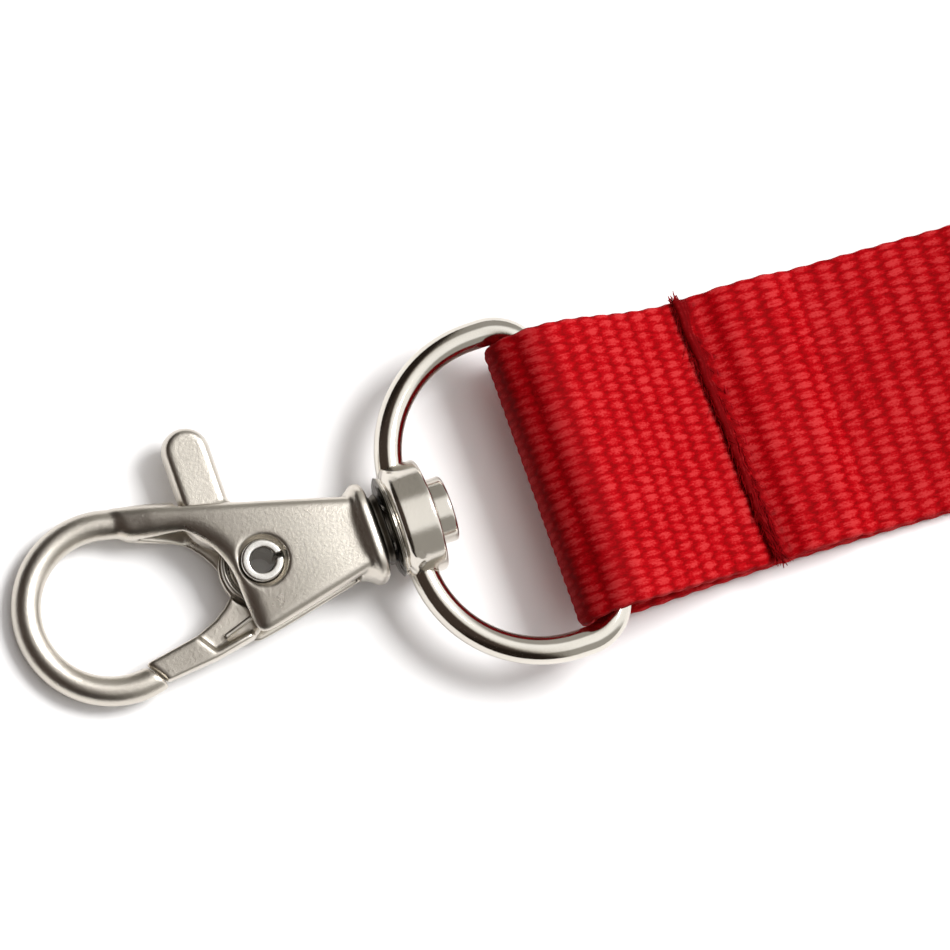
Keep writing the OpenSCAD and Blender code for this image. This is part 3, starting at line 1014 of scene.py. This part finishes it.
def doubled_path():
    """Middle line of the doubled strap through the hank, from the strands to the far end.

    The four layers touch at the tie and lie a little apart at both ends.
    """
    tied = [1.0 + hank_layer * i + 1.15 for i in range(4)]
    fold_room, fold_r = 3.25, 2.15
    left, right = hank_start + fold_room, hank_end - fold_room

    def run(from_x, to_x, from_z, to_z, tied_z):
        """One layer, held down at the tie and loose towards both ends."""
        xs = np.linspace(from_x, to_x, 240)
        hold = 1 - smooth_step((np.abs(xs - tie_x) - 7) / 16)
        free = np.where(np.abs(xs - from_x) < abs(tie_x - from_x), from_z, to_z)
        return np.stack([xs, free * (1 - hold) + tied_z * hold], 1)

    return [
        run(strand_end, right, 1.1, 1.1, tied[0]),
        bend((right, 3.25), fold_r, -90, 90)[1:-1],
        run(right, left, 5.4, 3.4, tied[1]),
        bend((left, 5.55), fold_r, 270, 90)[1:-1],
        run(left, right, 7.7, 7.6, tied[2]),
        bend((right, 9.75), fold_r, -90, 90)[1:-1],
        run(right, hank_start + 6, 11.9, 10.0, tied[3]),
    ]


def hank_path():
    """Out along one layer of the doubled strap, round its far end, and back along the other."""
    middle = evenly(np.concatenate(doubled_path()), 0.5)
    along = directions(middle)
    left = np.stack([-along[:, 1], along[:, 0]], 1)
    layer_off = 0.575
    near = middle - layer_off * left
    far = middle + layer_off * left
    rise = bend((hank_start + 2, 10.9), 1.45, 60, 270, 40)
    start, meet = near[-1], rise[0]
    t = np.linspace(0, 1, 14)[1:-1, None]
    climb = start + (meet - start) * t
    climb[:, 1] = start[1] + (meet[1] - start[1]) * smooth_step(t[:, 0])
    t = np.linspace(0, 1, 10)[1:-1, None]
    back = rise[-1] + (far[-1] - rise[-1]) * t
    return np.concatenate([near, climb, rise, back, far[::-1]])


loop_piece, loop_length = strip("webbing_folded_end", loop_path(), columns_fine, webbing_red)
upper_piece, upper_length = strip(
    "webbing_top_strand", upper_path(), columns_fine, webbing_red, cut_end,
)
hank_piece, hank_length = strip("webbing_hanked", evenly(hank_path(), 0.33), 90, webbing_red)


# ---- Thread, loose fibres and tie --------------------------------------------

def on_strap(x, y, z):
    """A place on the strap, from the distance along it, across it and the height."""
    x, y = np.asarray(x, float), np.asarray(y, float)
    turn = lean(x)
    z = np.broadcast_to(z, x.shape)
    return np.stack([x - y * np.sin(turn) + bar[0], centre_y(x) + y * np.cos(turn) + bar[1], z], -1)


def cut_x(y):
    """Where the cut end lies, across the strap."""
    return seam_x - cut_slope * y


def build_stitches():
    """Straight stitches through all three layers: a run of thread above and one below."""
    tubes = []
    sides = (
        (1, upper_mid(seam_x + stitch_in) + 0.14),
        (-1, under(seam_x + stitch_in) + 0.06),
    )
    for i in range(-7, 8):
        for side, height in sides:
            y = np.linspace(-0.46, 0.46, 12) * stitch_pitch + (i + 0.25 * side) * stitch_pitch
            y = y[np.abs(y) < stitched_half]
            if len(y) < 8:
                continue
            dip = np.cos(np.linspace(-1, 1, len(y)) * math.pi / 2) ** 0.5 * 0.16
            x = cut_x(y) + stitch_in + 0.02 * rng.uniform(-1, 1)
            tubes.append(tube(on_strap(x, y, height - side * (0.16 - dip)), (1, 0, 0), 0.13, 10))
    return add_tubes("seam_threads", tubes, thread_red)


def build_fibres():
    """Fibres frayed from the cut end: short hairs along it and a few longer ones at the corners."""
    tubes = []
    for _ in range(420):
        y0 = rng.uniform(-stitched_half, stitched_half)
        length = rng.uniform(0.4, 1.3)
        way = rng.normal(-1.5, 0.35)
        bow = rng.uniform(-0.5, 0.5)
        t = np.linspace(0, 1, 9)
        x = cut_x(y0) + rng.uniform(-0.12, 0.75) + length * t * math.cos(way) + bow * t ** 2 * 0.4
        y = y0 + length * t * math.sin(way)
        z = upper_mid(seam_x + 0.5) + rng.uniform(0.12, 0.3) + rng.uniform(0.0, 0.12) * np.sin(math.pi * t)
        y = np.clip(y, -10.1, 10.1)
        tubes.append(tube(on_strap(x, y, z), (0, 0, 1), 0.028 * (1 - 0.6 * t), 6))
    for i in range(26):
        side = 1 if i % 2 else -1
        y0 = side * rng.uniform(9.3, 9.75)
        way = side * rng.normal(1.7, 0.45)
        t = np.linspace(0, 1, 12)
        length = rng.uniform(0.25, 0.75)
        x = cut_x(y0) + rng.uniform(-0.1, 0.6) + length * t * math.cos(way)
        y = y0 + length * t * math.sin(way) + rng.uniform(-0.1, 0.1) * t ** 2
        z = upper_mid(seam_x + 0.5) + rng.uniform(-0.2, 0.25) - 0.1 * t
        tubes.append(tube(on_strap(x, y, z), (0, 0, 1), 0.07 * (1 - 0.6 * t), 6))
    return add_tubes("frayed_fibres", tubes, fibre_red)


def tie_path():
    """Across the top of the hank, down, under, up, and over the top again, as y and z."""
    half_w = webbing_w / 2 + 0.1 + tie_t / 2
    low = tie_t / 2
    top = tie_t + 4 * hank_layer + 0.1 + tie_t / 2
    r = 1.2 + tie_t / 2
    corners = [
        bend((-half_w + r, top - r), r, 90, 180, 14), bend((-half_w + r, low + r), r, 180, 270, 14),
        bend((half_w - r, low + r), r, 270, 360, 14), bend((half_w - r, top - r), r, 0, 80, 14),
    ]
    lap_over = np.array([[6.3, top + 0.75 * tie_t], [5.2, top + tie_t], [-tail_w / 2, top + tie_t]])
    start = np.array([[6.8, top]])
    path = evenly(np.concatenate([start, *corners, lap_over]), 0.2)
    return np.concatenate([path[:1], averaged(path, np.ones(5)), path[-1:]])


def build_tie():
    """A strip of hook-and-loop tape: a closed band with rounded edges and a pile of small loops."""
    path = tie_path()
    along = directions(path)
    out = np.stack([along[:, 1], -along[:, 0]], 1)
    out *= -1 if out[5, 1] < 0 else 1
    x = np.linspace(-1, 1, 50) * (tie_w / 2 - 0.05)
    edge = np.clip(np.abs(x) - tie_w / 2 + 0.5, 0, 1) / 0.5
    envelope = np.sqrt(np.clip(1 - edge ** 2, 0, 1))[None]
    pile = rng.uniform(-0.07, 0.05, (len(path), len(x)))
    rise = envelope * (0.42 + pile)
    fall = envelope * (0.42 + 0 * pile)
    middle = np.concatenate([0 * path[:, :1], path], 1)[:, None] + x[None, :, None] * [1, 0, 0]
    outward = np.concatenate([0 * out[:, :1], out], 1)[:, None]
    loop = around(middle + rise[..., None] * outward, middle - fall[..., None] * outward)
    points = loop.reshape(-1, 3) + [bar[0] + tie_x, bar[1], 0]
    piece = add_mesh("tie_strip", points, band_faces(len(path), loop.shape[1]), tie_black)
    return piece, distances(path)[-1]


stitches = build_stitches()
fibres = build_fibres()
tie, tie_length = build_tie()


# ---- Light and floor ---------------------------------------------------------

def soft_light(name, towards, elevation, distance, size, power, colour=(1, 1, 1)):
    """A square soft box: towards is its direction in plan, in degrees from X."""
    data = bpy.data.lights.new(name, "AREA")
    data.shape = "SQUARE"
    data.size = size
    data.energy = power
    data.color = colour
    light = bpy.data.objects.new(name, data)
    a, e = math.radians(towards), math.radians(elevation)
    back = Vector((math.cos(a) * math.cos(e), math.sin(a) * math.cos(e), math.sin(e)))
    light.location = Vector((-0.06, 0, 0)) + distance * back
    light.rotation_euler = back.to_track_quat("Z", "Y").to_euler()
    bpy.context.scene.collection.objects.link(light)
    return light


def build_floor():
    """A white surface under the part, which isn't part of it."""
    bpy.ops.mesh.primitive_plane_add(size=3, location=(0, 0, 0))
    floor = bpy.context.object
    floor.name = "floor"
    material, _, shader = surface("floor white", (0.93, 0.925, 0.925), 0.9)
    shader.inputs["Specular IOR Level"].default_value = 0.1
    floor.data.materials.append(material)


def build_world():
    """Brightest overhead and to the right, and dark at the horizon, as in a small studio."""
    world = bpy.data.worlds.new("studio")
    world.use_nodes = True
    tree = world.node_tree
    direction = tree.nodes.new("ShaderNodeTexCoord").outputs["Generated"]
    flattened = vector_maths(tree, "NORMALIZE", vector_maths(tree, "MULTIPLY", direction, (1, 0.4, 1)))
    facing = vector_maths(tree, "DOT_PRODUCT", flattened, (0.96, -0.05, 0.26))
    colour = ramp(tree, facing, [
        (0.0, (0.06, 0.044, 0.036)),
        (0.07, (0.26, 0.23, 0.21)),
        (0.12, (0.65, 0.62, 0.58)),
        (0.18, (0.98, 0.96, 0.93)),
        (0.3, (1.22, 1.22, 1.22)),
    ])
    aside = vector_maths(tree, "DOT_PRODUCT", direction, (0.03, 1, 0))
    middle = ramp(tree, maths(tree, "ABSOLUTE", aside), [
        (0.46, (1, 1, 1)),
        (0.62, (0.34, 0.33, 0.31)),
    ])
    colour = vector_maths(tree, "MULTIPLY", colour, middle)
    tree.links.new(colour, tree.nodes["Background"].inputs["Color"])
    bpy.context.scene.world = world


build_floor()
build_world()
soft_light("key", 10, 60, 0.7, 0.26, 4.2)
fill = soft_light("fill", 150, 70, 0.9, 1.3, 1.7, (1.0, 0.96, 0.97))
fill.visible_glossy = False
bpy.context.scene.view_settings.view_transform = "Standard"


# ---- What each piece rides on and stands for ---------------------------------

def belongs(piece, body, slot, *nodes):
    """The body a piece rides on and the CAD nodes it stands for. The slot argument is not used."""
    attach(piece, body)
    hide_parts(*nodes)


belongs(hook_body, "hook", "cast_nickel", "hook_body")
belongs(hinge_pin, "hook", "pin", "hinge_pin")
belongs(trigger, "trigger", "cast_nickel", "trigger")
belongs(trigger_spring, "hook", "spring", "trigger_spring")
belongs(stud, "hook", "cast_nickel", "swivel_stud")
belongs(collar, "ring", "cast_nickel", "swivel_collar")
belongs(d_ring, "ring", "ring_wire", "d_ring")
belongs(loop_piece, "strap", "webbing", "webbing_loop", "webbing_lower_strand")
belongs(upper_piece, "strap", "webbing", "webbing_upper_strand")
belongs(hank_piece, "strap", "webbing", "webbing_hank")
belongs(stitches, "strap", "thread", "seam_stitching")
belongs(fibres, "strap", "webbing")
belongs(tie, "strap", "tie", "hank_tie")
